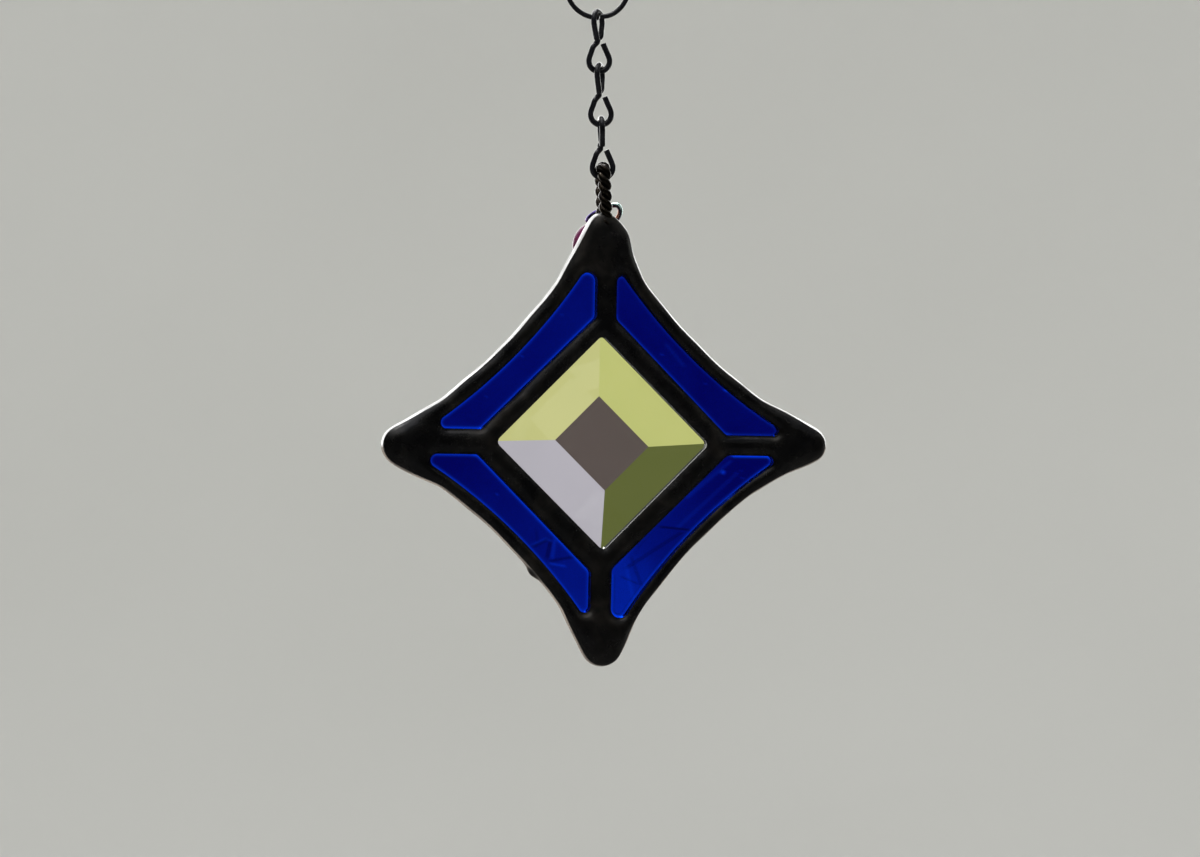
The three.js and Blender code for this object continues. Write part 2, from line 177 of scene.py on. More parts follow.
def side_point(side, tip):
    """Where a concave side gives way to the flank of a tip."""
    axis = unit(tip * QUARTER)
    across = side_centre(side) - axis * (side_centre(side) @ axis)
    along = side_centre(side) @ axis - TIP_ROOT
    width = np.linalg.norm(across)
    inward = across / width
    return TIP_ROOT * axis + inward * (width - math.sqrt(SIDE_RADIUS ** 2 - along ** 2))


def panel_loop():
    """The panel's whole outline: each tip's round end, then the side that follows it."""
    parts = []
    for tip in (RIGHT, TOP, LEFT, BOTTOM):
        angle = tip * QUARTER
        before, after = (QUARTER - math.radians(flank) for flank in TIP_FLANK[tip])
        middle = (TIP_REACH[tip] - TIP_RADIUS[tip]) * unit(angle)
        middle = middle + TIP_SHIFT[tip] * unit(angle - QUARTER)
        parts.append(arc(middle, TIP_RADIUS[tip], angle - before, angle + after))
        centre = side_centre(tip)
        ends = [side_point(tip, tip) - centre, side_point(tip, (tip + 1) % 4) - centre]
        start, end = [math.atan2(point[1], point[0]) for point in ends]
        if end > start:
            end -= 2 * math.pi
        parts.append(arc(centre, SIDE_RADIUS, start, end))
    loop = resample(softened(np.vstack(parts), OUTLINE_EASE), LOOP_STEP)
    swelled = sum(amount * near_spot(loop, spot, reach) for spot, amount, reach in BULGES)
    return loop + normals_of(loop) * swelled[:, None]


def line(angle, distance):
    """Everything past a straight line that far from the pattern's centre."""
    normal = unit(angle + PATTERN_TURN)
    return ("line", normal, distance + normal[0] * PATTERN_SHIFT)


def meet(first, second, radius, near):
    """Centre of the circle of that radius that rounds the corner between two borders."""
    if first[0] == "circle":
        first, second = second, first
    normal, offset = first[1], first[2] + radius
    if second[0] == "line":
        return np.linalg.solve(np.array([normal, second[1]]), [offset, second[2] + radius])
    along = np.array([-normal[1], normal[0]])
    start = offset * normal - second[1]
    middle = -(start @ along)
    spread = math.sqrt((second[2] + radius) ** 2 - (start @ start - middle ** 2))
    options = [offset * normal + (middle + sign * spread) * along for sign in (-1, 1)]
    return min(options, key=lambda option: np.linalg.norm(option - near))


def touch(border, centre, radius):
    """Where a circle that rounds a corner leaves a border."""
    if border[0] == "line":
        return centre - radius * border[1]
    towards = border[1] - centre
    return centre + radius * towards / np.linalg.norm(towards)


def rounded(borders, radii, nears):
    """A loop along borders in turn, counterclockwise, its corners rounded. Corner i is between
    border i and the next one."""
    count = len(borders)
    corners = [meet(borders[i], borders[(i + 1) % count], radii[i], nears[i]) for i in range(count)]
    parts = []
    for i in range(count):
        before, after = borders[i], borders[(i + 1) % count]
        start = touch(before, corners[i], radii[i]) - corners[i]
        end = touch(after, corners[i], radii[i]) - corners[i]
        first, last = math.atan2(start[1], start[0]), math.atan2(end[1], end[0])
        if last < first:
            last += 2 * math.pi
        parts.append(arc(corners[i], radii[i], first, last, 0.08))
        if after[0] == "circle":
            following = touch(after, corners[(i + 1) % count], radii[(i + 1) % count]) - after[1]
            leaving = touch(after, corners[i], radii[i]) - after[1]
            first, last = [math.atan2(point[1], point[0]) for point in (leaving, following)]
            last += 2 * math.pi * round((first - last) / (2 * math.pi))
            parts.append(arc(after[1], after[2], first, last)[1:-1])
    return np.vstack(parts)


def strip_loop(side, grow=0.0):
    """The glass seen in one quarter, grown by a margin."""
    start = side * QUARTER
    tip_before, tip_after = side, (side + 1) % 4
    inner = line(start + QUARTER / 2, STRIP_INNER[side] - grow)
    near_before = line(start + QUARTER, SPOKE_HALF[tip_before] - grow)
    near_after = line(start, SPOKE_HALF[tip_after] - grow)
    outer = ("circle", side_centre(side), SIDE_RADIUS + BORDER[side] - grow)
    before, after = 26 * unit(start), 26 * unit(start + QUARTER)
    radii = [radius + grow for radius in (*POINT_ROUND[side], BLUNT_ROUND, BLUNT_ROUND)]
    loop = rounded([near_before, outer, near_after, inner], radii, [before, after, after, before])
    return resample(loop, LOOP_STEP)


def clear_loop(grow=0.0, corner=CLEAR_ROUND):
    """The clear glass seen in the middle, grown by a margin."""
    borders = []
    for side in (LOWER_RIGHT, UPPER_RIGHT, UPPER_LEFT, LOWER_LEFT):
        normal = -unit(QUARTER / 2 + side * QUARTER + CLEAR_TURN)
        borders.append(("line", normal, -(CLEAR_SIDE[side] + grow) + normal[0] * PATTERN_SHIFT))
    return resample(rounded(borders, [corner + grow] * 4, [None] * 4), LOOP_STEP)


# ---- plates from outlines

def inside(points, loop):
    x, y = points[:, 0][:, None], points[:, 1][:, None]
    x0, y0 = loop[:, 0][None], loop[:, 1][None]
    x1, y1 = np.roll(x0, -1, axis=1), np.roll(y0, -1, axis=1)
    crossing = (y0 > y) != (y1 > y)
    rise = np.where(y1 == y0, 1, y1 - y0)
    hits = crossing & (x < x0 + (y - y0) * (x1 - x0) / rise)
    return hits.sum(axis=1) % 2 == 1


def between(points, loops):
    """Whether each point is inside the first loop and outside the holes after it."""
    good = inside(points, loops[0])
    for hole in loops[1:]:
        good &= ~inside(points, hole)
    return good


def distance(points, loop):
    """Distance from each point to a closed loop."""
    best = np.full(len(points), np.inf)
    spans = np.roll(loop, -1, axis=0) - loop
    squares = (spans ** 2).sum(axis=1)
    batch = 4000
    for first in range(0, len(points), batch):
        part = points[first:first + batch, None]
        along = np.clip(((part - loop) * spans).sum(axis=2) / squares, 0, 1)
        gap = np.linalg.norm(part - loop - along[..., None] * spans, axis=2)
        best[first:first + batch] = gap.min(axis=1)
    return best


def filled(loops, step, insets):
    """Triangles between the first loop and the holes after it: the points, which start with
    those on the loops, the triangles, and how many points are on the loops."""
    low, high = loops[0].min(axis=0), loops[0].max(axis=0)
    rows = np.arange(low[1], high[1], step * math.sqrt(3) / 2)
    grid = np.array([(x + (row % 2) * step / 2, y) for row, y in enumerate(rows)
                     for x in np.arange(low[0], high[0], step)])
    offered = [(grid, insets[-1] + 0.6 * step)]
    for index, loop in enumerate(loops):
        inwards = -normals_of(loop) if index == 0 else normals_of(loop)
        offered += [(loop + inset * inwards, inset * 0.8) for inset in insets]
    kept = []
    for points, least in offered:
        gap = np.min([distance(points, loop) for loop in loops], axis=0)
        kept.append(points[between(points, loops) & (gap > least)])
    points = np.vstack(list(loops) + kept)
    edges, start = [], 0
    for loop in loops:
        ring = np.arange(start, start + len(loop))
        edges += list(zip(ring.tolist(), np.roll(ring, -1).tolist()))
        start += len(loop)
    result = delaunay_2d_cdt([Vector(point) for point in points.tolist()], edges, [], 0, 1e-6)
    flat = np.array([tuple(point) for point in result[0]])
    triangles = np.array([face for face in result[2] if len(face) == 3])
    triangles = triangles[between(flat[triangles].mean(axis=1), loops)]
    sides = flat[triangles]
    turn = np.cross(sides[:, 1] - sides[:, 0], sides[:, 2] - sides[:, 0])
    triangles[turn < 0] = triangles[turn < 0][:, ::-1]
    assert len(flat) == len(points), "the loops cross or touch"
    return flat, triangles, start


FILM_ROUNDS = 400
FILM_STILL = 1e-12


def film(points, triangles, fixed, fixed_values, target, reach):
    """The height of a liquid film, as molten solder is, held at fixed points and rising towards
    its target over that reach."""
    count = len(points)
    corners = points[triangles]
    area = 0.5 * np.cross(corners[:, 1] - corners[:, 0], corners[:, 2] - corners[:, 0])
    mass = np.bincount(triangles.ravel(), np.repeat(area / 3, 3), count)
    heads, tails, weights = [], [], []
    for corner in range(3):
        a, b, c = (triangles[:, (corner + k) % 3] for k in range(3))
        one, two = points[b] - points[a], points[c] - points[a]
        cotangent = (one * two).sum(axis=1) / np.maximum(np.abs(np.cross(one, two)), 1e-9)
        heads += [b, c]
        tails += [c, b]
        weights += [np.maximum(cotangent, 0) / 2] * 2
    heads, tails, weights = (np.concatenate(part) for part in (heads, tails, weights))
    pull = mass / reach ** 2
    diagonal = np.bincount(heads, weights, count) + pull
    free = np.ones(count, bool)
    free[fixed] = False
    height = np.array(target, float)
    height[fixed] = fixed_values

    def applied(values):
        return diagonal * values - np.bincount(heads, weights * values[tails], count)

    residual = np.where(free, pull * target - applied(height), 0)
    direction = residual / diagonal
    energy = residual @ direction
    for _ in range(FILM_ROUNDS):
        moved = np.where(free, applied(direction), 0)
        step = energy / (direction @ moved)
        height += step * direction
        residual -= step * moved
        fresh = residual / diagonal
        before, energy = energy, residual @ fresh
        if energy < FILM_STILL:
            break
        direction = fresh + energy / before * direction
    return height


def swell(points, seed, wavelength, waves=14):
    """A smooth random field of about unit size."""
    dice = np.random.default_rng(seed)
    total = np.zeros(len(points))
    for _ in range(waves):
        angle, phase = dice.uniform(0, 2 * math.pi, 2)
        stretch = dice.uniform(0.7, 1.5)
        total += np.sin(points @ unit(angle) * 2 * math.pi * stretch / wavelength + phase)
    return total / math.sqrt(waves / 2)


def linked(name, data):
    obj = bpy.data.objects.new(name, data)
    bpy.context.scene.collection.objects.link(obj)
    return obj


def new_object(name, points, faces, materials, smooth=True):
    mesh = bpy.data.meshes.new(name)
    mesh.from_pydata((np.asarray(points) * MM).tolist(), [], [list(map(int, face)) for face in faces])
    mesh.update()
    for material in materials:
        mesh.materials.append(material)
    mesh.polygons.foreach_set("use_smooth", [smooth] * len(mesh.polygons))
    return linked(name, mesh)


def sharpen(obj, degrees):
    """Keeps arrises steeper than that angle sharp."""
    obj.data.set_sharp_from_angle(angle=math.radians(degrees))


def both_faces(triangles, shift):
    """The triangles, and the same ones turned over on points that come that much later."""
    return [tuple(face) for face in triangles] + [tuple(face[::-1] + shift) for face in triangles]


def band(lower, upper):
    """Triangles between two rings of vertices of one length, facing right of the way round."""
    faces = []
    count = len(lower)
    for i in range(count):
        j = (i + 1) % count
        faces += [(lower[i], lower[j], upper[j]), (lower[i], upper[j], upper[i])]
    return faces


# ---- wires

def smooth_curve(controls, count):
    """A centripetal Catmull-Rom curve through the controls, as evenly spaced points."""
    controls = np.asarray(controls, float)
    full = np.vstack([2 * controls[0] - controls[1], controls, 2 * controls[-1] - controls[-2]])
    points = []
    for a, b, c, d in zip(full, full[1:], full[2:], full[3:]):
        k = np.r_[0, np.cumsum([np.linalg.norm(q - p) ** 0.5 for p, q in ((a, b), (b, c), (c, d))])]
        t = np.linspace(k[1], k[2], 24, endpoint=False)[:, None]
        one = ((k[1] - t) * a + t * b) / k[1]
        two = ((k[2] - t) * b + (t - k[1]) * c) / (k[2] - k[1])
        three = ((k[3] - t) * c + (t - k[2]) * d) / (k[3] - k[2])
        low = ((k[2] - t) * one + t * two) / k[2]
        high = ((k[3] - t) * two + (t - k[1]) * three) / (k[3] - k[1])
        points.append(((k[2] - t) * low + (t - k[1]) * high) / (k[2] - k[1]))
    return even(np.vstack(points + [controls[-1:]]), count)


def even(points, count):
    lengths = np.r_[0, np.cumsum(np.linalg.norm(np.diff(points, axis=0), axis=1))]
    places = np.linspace(0, lengths[-1], count)
    return np.column_stack([np.interp(places, lengths, points[:, axis]) for axis in range(3)])


def tube(rings, sides, start=0):
    """Quads between rings of points that follow one another."""
    faces = []
    for row in range(start, start + (rings - 1) * sides, sides):
        for i in range(sides):
            j = (i + 1) % sides
            faces.append((row + i, row + j, row + sides + j, row + sides + i))
    return faces


def wire_mesh(points, radius, sides):
    """A round wire along points, its ends cut square and eased."""
    points = np.asarray(points, float)
    tangents = np.gradient(points, axis=0)
    tangents /= np.linalg.norm(tangents, axis=1)[:, None]
    across = np.cross(tangents[0], (0.3, 0.5, 0.8))
    across /= np.linalg.norm(across)
    rows = []
    ease = 0.12 * radius
    first, last = points[0], points[-1]
    stations = [(first, radius - ease), (first + ease * tangents[0], radius)]
    stations += [(point, radius) for point in points[1:-1]]
    stations += [(last - ease * tangents[-1], radius), (last, radius - ease)]
    ways = np.vstack([tangents[:1], tangents, tangents[-1:]])
    angles = np.arange(sides) * 2 * math.pi / sides
    for (centre, size), way in zip(stations, ways):
        across = across - way * (across @ way)
        across /= np.linalg.norm(across)
        other = np.cross(way, across)
        rows.append(centre + size * (np.cos(angles)[:, None] * across + np.sin(angles)[:, None] * other))
    vertices = [first] + list(np.vstack(rows)) + [last]
    faces = tube(len(rows), sides, 1)
    finish = 1 + (len(rows) - 1) * sides
    for i in range(sides):
        j = (i + 1) % sides
        faces.append((0, 1 + j, 1 + i))
        faces.append((finish + sides, finish + i, finish + j))
    return np.array(vertices), faces


def joined(parts):
    vertices, faces, start = [], [], 0
    for points, part in parts:
        vertices.append(points)
        faces += [tuple(index + start for index in face) for face in part]
        start += len(points)
    return np.vstack(vertices), faces


# ---- materials

GLASS_IOR = 1.52


class Nodes:
    """A short way to write a node tree."""

    def __init__(self, name):
        self.material = bpy.data.materials.new(name)
        self.material.use_nodes = True
        self.tree = self.material.node_tree
        self.shader = self.tree.nodes["Principled BSDF"]
        self.place = self.node("ShaderNodeTexCoord").outputs["Object"]

    def node(self, kind, inputs=(), **settings):
        made = self.tree.nodes.new(kind)
        for key, value in settings.items():
            setattr(made, key, value)
        for key, value in dict(inputs).items():
            self.set(made.inputs[key], value)
        return made

    def set(self, socket, value):
        if isinstance(value, bpy.types.NodeSocket):
            self.tree.links.new(value, socket)
        else:
            socket.default_value = value

    def surface(self, **inputs):
        """Sets or links the shader's sockets, a plain value on the socket itself."""
        for key, value in inputs.items():
            self.set(self.shader.inputs[key.replace("_", " ")], value)
        return self.material

    def noise(self, size_mm, detail=3.0, roughness=0.5, distortion=0.0):
        inputs = {"Vector": self.place, "Scale": 1000 / size_mm, "Detail": detail,
                  "Roughness": roughness, "Distortion": distortion}
        return self.node("ShaderNodeTexNoise", inputs).outputs["Fac"]

    def ramp(self, value, *stops):
        made = self.node("ShaderNodeValToRGB", {"Fac": value})
        elements = made.color_ramp.elements
        while len(elements) < len(stops):
            elements.new(0.5)
        for element, (position, colour) in zip(elements, stops):
            element.position = position
            element.color = (*colour, 1)
        return made.outputs["Color"]

    def grey(self, value, *stops):
        return self.ramp(value, *[(position, (level, level, level)) for position, level in stops])

    def mix(self, share, first, second):
        made = self.node("ShaderNodeMix", data_type="RGBA")
        for socket, value in ((made.inputs[0], share), (made.inputs[6], first), (made.inputs[7], second)):
            self.set(socket, (*value, 1) if isinstance(value, tuple) else value)
        return made.outputs[2]

    def math(self, operation, first, second):
        made = self.node("ShaderNodeMath", operation=operation)
        self.set(made.inputs[0], first)
        self.set(made.inputs[1], second)
        return made.outputs[0]

    def bump(self, height, depth_mm):
        inputs = {"Height": height, "Distance": depth_mm * MM, "Strength": 1.0}
        return self.node("ShaderNodeBump", inputs).outputs["Normal"]

    def attribute(self, name):
        return self.node("ShaderNodeAttribute", attribute_name=name).outputs["Fac"]


def solder_material():
    n = Nodes("patinated_solder")
    patches = n.noise(5.5, 4.0, 0.55, 0.6)
    film_tone = n.noise(1.6, 3.0, 0.6)
    colour = n.ramp(patches, (0.36, (0.013, 0.013, 0.014)), (0.56, (0.020, 0.019, 0.018)),
                    (0.74, (0.038, 0.033, 0.029)))
    colour = n.mix(n.grey(film_tone, (0.55, 0.0), (0.8, 0.5)), colour, (0.030, 0.030, 0.032))
    rough = n.grey(n.math("ADD", n.math("MULTIPLY", patches, 0.6), n.math("MULTIPLY", film_tone, 0.4)),
                   (0.35, 0.2), (0.65, 0.38))
    pits = n.noise(0.35, 2.0, 0.6)
    return n.surface(
        Base_Color=colour, Metallic=n.grey(film_tone, (0.3, 0.7), (0.7, 0.9)),
        Roughness=rough, Normal=n.bump(pits, 0.012))


def foil_material():
    n = Nodes("foil_backing")
    mottle = n.noise(0.9, 3.0)
    return n.surface(
        Base_Color=n.ramp(mottle, (0.35, (0.55, 0.55, 0.54)), (0.7, (0.82, 0.81, 0.78))),
        Metallic=1.0, Roughness=n.grey(mottle, (0.3, 0.08), (0.7, 0.16)))


def wire_material():
    n = Nodes("black_wire")
    tone = n.noise(1.4, 3.0, 0.6)
    return n.surface(
        Base_Color=n.ramp(tone, (0.35, (0.004, 0.004, 0.005)), (0.7, (0.012, 0.012, 0.015))),
        Roughness=n.grey(tone, (0.3, 0.10), (0.7, 0.18)), Normal=n.bump(n.noise(0.25), 0.005),
        Specular_IOR_Level=0.3)


def rope_material():
    n = Nodes("twisted_wire")
    tone = n.noise(1.1, 4.0, 0.6)
    return n.surface(
        Base_Color=n.ramp(tone, (0.35, (0.008, 0.006, 0.005)), (0.55, (0.020, 0.016, 0.011)),
                          (0.75, (0.060, 0.045, 0.030))),
        Metallic=n.grey(tone, (0.3, 0.8), (0.7, 1.0)),
        Roughness=n.grey(tone, (0.3, 0.16), (0.7, 0.30)), Normal=n.bump(n.noise(0.2), 0.006))


def blue_material():
    n = Nodes("blue_glass")
    tone = n.noise(7.0, 3.0, 0.5, 0.4)
    grain = n.noise(0.7, 3.0, 0.6)
    # Painted light: the 'light' attribute makes each sheet lighter towards one end.
    light = n.math("ADD", n.attribute("light"), n.math("MULTIPLY", n.math("SUBTRACT", tone, 0.5), 0.5))
    colour = n.ramp(light, (0.0, (0.0, 0.0, 0.085)), (0.5, (0.0, 0.004, 0.16)), (1.0, (0.0, 0.016, 0.36)))
    colour = n.mix(n.math("MULTIPLY", grain, 0.10), colour, (0.0, 0.010, 0.35))
    colour = n.mix(n.attribute("crease"), colour, (0.0, 0.0, 0.03))
    # Painted light: a bright blue glow along the sheets' edges from the 'rim' attribute, which the lighter
    # marks share.
    colour = n.mix(n.attribute("rim"), colour, (0.0, 0.055, 0.95))
    return n.surface(
        Base_Color=colour, Roughness=n.grey(grain, (0.3, 0.0), (0.8, 0.03)),
        Normal=n.bump(tone, 0.006), Transmission_Weight=1.0, IOR=GLASS_IOR)


def clear_material():
    n = Nodes("clear_glass")
    film_tone = n.noise(9.0, 2.0, 0.5)
    return n.surface(
        Base_Color=n.ramp(film_tone, (0.3, (0.93, 0.95, 0.92)), (0.7, (0.97, 0.98, 0.96))),
        Roughness=n.grey(n.noise(3.0), (0.4, 0.0), (0.9, 0.015)),
        Normal=n.bump(film_tone, 0.004), Transmission_Weight=1.0, IOR=GLASS_IOR)


def plum_material():
    n = Nodes("plum_glass")
    swirl = n.noise(3.0, 2.0, 0.5, 1.2)
    return n.surface(
        Base_Color=n.ramp(swirl, (0.3, (0.12, 0.009, 0.055)), (0.7, (0.22, 0.032, 0.12))),
        Roughness=n.grey(swirl, (0.3, 0.12), (0.8, 0.25)), Transmission_Weight=0.6,
        Specular_IOR_Level=0.04, IOR=1.14)


def purple_material():
    n = Nodes("purple_wire")
    tone = n.noise(2.2, 2.0, 0.5, 0.5)
    colour = n.ramp(tone, (0.3, (0.10, 0.06, 0.36)), (0.5, (0.30, 0.22, 0.62)), (0.68, (0.42, 0.26, 0.50)))
    # Painted highlights: coppery on the curl's inside and pale round its outside.
    colour = n.mix(n.attribute("inner"), colour, (0.62, 0.27, 0.18))
    colour = n.mix(n.attribute("outer"), colour, (0.72, 0.95, 0.92))
    return n.surface(
        Base_Color=colour, Metallic=1.0,
        Roughness=n.grey(n.noise(0.8), (0.3, 0.15), (0.7, 0.28)))


SOLDER = solder_material()
FOIL_BACK = foil_material()
WIRE = wire_material()
ROPE = rope_material()
BLUE = blue_material()
CLEAR = clear_material()
PLUM = plum_material()
PURPLE = purple_material()


# ---- solder

FRONT, BACK = -1, 1
EDGE_BLEND = 12


def placed(flat, depth):
    """Points of the panel's plane, set at a depth behind its middle."""
    depth = np.broadcast_to(depth, len(flat))
    return np.column_stack([flat[:, 0] + PANEL_X, depth, flat[:, 1] + PANEL_Z])


def softened_values(values, half):
    """A ring of values, each the mean of its neighbours on either side."""
    padded = np.r_[values[-half:], values, values[:half]]
    return np.convolve(padded, np.full(2 * half + 1, 1 / (2 * half + 1)), "valid")


def facing(ways, angle):
    return np.clip(ways @ unit(angle), 0, 1) ** 2


def arris_inset(ways):
    """How far the front arris is set in at each point of the outline."""
    flatter = np.clip((ways @ unit(1.5 * QUARTER) - 0.8) / 0.15, 0, 1)
    return softened_values(ARRIS - ARRIS_SHARPER * flatter * flatter * (3 - 2 * flatter), EDGE_BLEND)


def edge_lean(outline, ways):
    """How much the outer edge leans towards the viewer at each point of the outline."""
    lean = LEAN + LEAN_RIGHT * np.clip(ways[:, 0], 0, 1) + LEAN_UPPER_RIGHT * facing(ways, QUARTER / 2)
    lean += LEAN_DOWN * facing(ways, -QUARTER) + 0.045 * near_spot(outline, (-4, 31), 4.0)
    lean += 0.06 * near_spot(outline, (34.4, 1.2), 1.6)
    lean -= 0.1 * near_spot(outline, (3.7, 30.6), 3.0) + LEAN_LEFT_LESS * facing(ways, math.pi) ** 2
    return softened_values(lean, EDGE_BLEND)


def crest_height(flat, face_side):
    """The solder's height where it is wide. The top tip has a swelling and a dent, and at the
    back the spots that hold the bead's wire."""
    tips = sum(near_spot(flat, 30.5 * unit(tip * QUARTER), 3.0) for tip in range(4))
    crest = CREST_DEPTH + 0.12 * swell(flat, 21 + face_side, 11.0) + 0.12 * tips
    crest += 0.5 * near_spot(flat, (0.6, 28.4), 2.2)
    crest -= 0.3 * near_spot(flat, (0.6, 32.6), 1.2)
    if face_side == BACK:
        crest += 0.5 * near_spot(flat, (1.6, 33.0), 0.9) + 0.5 * near_spot(flat, (0, 25.2), 1.0)
    return crest


def solder_piece():
    outline = panel_loop()
    ways = normals_of(outline)
    outline += ways * (OUTLINE_WAVER * swell(outline, 3, 9.0))[:, None]
    ways = normals_of(outline)
    rounding = arris_inset(ways)
    flare = edge_lean(outline, ways)
    rim = outline - (rounding + 2 * EDGE_DEPTH * flare)[:, None] * ways
    openings = [strip_loop(side) for side in range(4)] + [clear_loop()]
    flat, triangles, held = filled([rim] + openings, FINE, (0.09, 0.22))
    edge_count = len(rim)
    hole_starts = np.cumsum([edge_count] + [len(loop) for loop in openings])
    glass_half = SHEET / 2 + POCKET_GAP + FOIL
    bevel_slope = (SQUARE_THICK - SQUARE_EDGE) / (SQUARE_HALF - TABLE_HALF)
    clear_back = -SHEET / 2 + SQUARE_EDGE + POCKET_GAP + FOIL + CLEAR_LAP * bevel_slope
    surfaces = []
    for face_side in (FRONT, BACK):
        edge = EDGE_DEPTH + 0.06 * swell(rim, 11 + face_side, 12.0)
        edge += 0.5 * near_spot(rim, (0.3, 34.5), 0.9)
        depths = [glass_half] * 4 + [clear_back if face_side == BACK else glass_half + CLEAR_LIP]
        held_at = [edge] + [np.full(len(loop), depth) for loop, depth in zip(openings, depths)]
        height = film(flat, triangles, np.arange(held), np.concatenate(held_at),
                      crest_height(flat, face_side), CAPILLARY)
        ripple = np.clip((height - glass_half) / 0.8, 0, 1)
        height += ripple * (0.022 * swell(flat, 31 + face_side, 4.2)
                            + 0.006 * swell(flat, 41 + face_side, 1.7))
        surfaces.append(height)
    front, back = surfaces
    vertices = [placed(flat, -front), placed(flat, back)]
    shift = len(flat)
    faces = both_faces(triangles, shift)
    count = 2 * shift

    def add_ring(points):
        nonlocal count
        vertices.append(points)
        ring = np.arange(count, count + len(points))
        count += len(points)
        return ring

    # The outer edge: it goes on round from the slope of the front face, then a nearly flat band,
    # and round again to the back.
    rings = [np.arange(edge_count)]
    bend = rounding / (1 - math.sin(EDGE_SLOPE))
    stations = [(bend * (1 - math.sin(angle)), bend * (math.cos(EDGE_SLOPE) - math.cos(angle)))
                for angle in np.linspace(EDGE_SLOPE, QUARTER, 7)[1:]]
    front_edge, back_edge = front[:edge_count], back[:edge_count]
    wave = 0.03 * swell(outline, 5, 6.0)
    drip = DRIP_SIZE * near_spot(outline, DRIP, DRIP_REACH)

    def add_edge(inset, depth):
        leaned_in = flare * (EDGE_DEPTH - depth)
        bulge = drip * np.clip((depth + 0.4) / 0.8, 0, 1) * np.clip((EDGE_DEPTH + 0.1 - depth) / 0.6, 0, 1)
        rings.append(add_ring(placed(outline + (bulge - inset - leaned_in)[:, None] * ways, depth)))

    for inset, drop in stations:
        add_edge(inset, drop - front_edge)
    last_drop = stations[-1][1]
    for share in (-0.6, -0.2, 0.2, 0.6):
        depth = (np.where(share < 0, front_edge, back_edge) - last_drop) * share
        add_edge(-(0.03 + wave) * (1 - share ** 2), depth)
    for inset, drop in reversed(stations):
        add_edge(inset, back_edge - drop)
    rings.append(np.arange(edge_count) + shift)
    for before, after in zip(rings, rings[1:]):
        faces += band(after, before)
    lining_start = len(faces)

    # Inside each opening: the lip's edge, and the pocket that holds the glass.
    lip = SHEET / 2 + POCKET_GAP
    pockets = [(strip_loop(side, STRIP_LAP + POCKET_GAP), lip, lip) for side in range(4)]
    pockets.append((clear_loop(CLEAR_LAP + POCKET_GAP), SQUARE_EDGE + POCKET_GAP - SHEET / 2,
                    clear_back - FOIL))
    for start, loop, (pocket, deep, back_lip) in zip(hole_starts, openings, pockets):
        clear_start = len(faces)
        wide = matched(pocket, loop)
        ring_front = np.arange(start, start + len(loop))
        steps = [ring_front, add_ring(placed(loop, -lip)), add_ring(placed(wide, -lip)),
                 add_ring(placed(wide, deep)), add_ring(placed(loop, back_lip)), ring_front + shift]
        for before, after in zip(steps, steps[1:]):
            faces += band(before, after)

    # Foil lines the strips' openings. In the clear opening the pale foil goes only along the lower right
    # edge, a painted highlight where light falls; the other edges keep the dark solder as painted shade.
    points = np.vstack(vertices)
    obj = new_object("solder_seams", points, faces, [SOLDER, FOIL_BACK])
    slots = np.zeros(len(faces), int)
    slots[lining_start:clear_start] = 1
    for index in range(clear_start, len(faces)):
        middle = points[list(faces[index])].mean(axis=0)
        slots[index] = middle[0] > PANEL_X and middle[2] < PANEL_Z
    obj.data.polygons.foreach_set("material_index", slots)
    return obj


def matched(loop, reference):
    """For each point of the reference, a point of the loop beside it, evenly spread."""
    fine = resample(loop, 0.02)
    index = np.array([np.argmin(((fine - point) ** 2).sum(axis=1)) for point in reference])
    count = len(fine)
    steps = (np.roll(index, -1) - index) % count
    places = np.r_[0, np.cumsum(steps[:-1])].astype(float)
    for _ in range(60):
        ahead, behind = np.roll(places, -1), np.roll(places, 1)
        ahead[-1] += count
        behind[0] -= count
        places = 0.5 * places + 0.25 * (ahead + behind)
    return fine[(index[0] + np.round(places).astype(int)) % count]


solder = solder_piece()
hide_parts("solder_frame")
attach(solder, "root")


# ---- glass

# By side: how bright the painted glow along a sheet's inner and outer rims is, and how light its two ends are
# as painted light.
INNER_RIM_GLOW = [0.45, 0.70, 0.70, 0.12]
OUTER_RIM_GLOW = [0.20, 0.60, 0.45, 0.90]
PANE_PAINTED_LIGHT = [(0.05, 0.15), (0.35, 0.15), (-0.05, 0.75), (0.95, -0.25)]
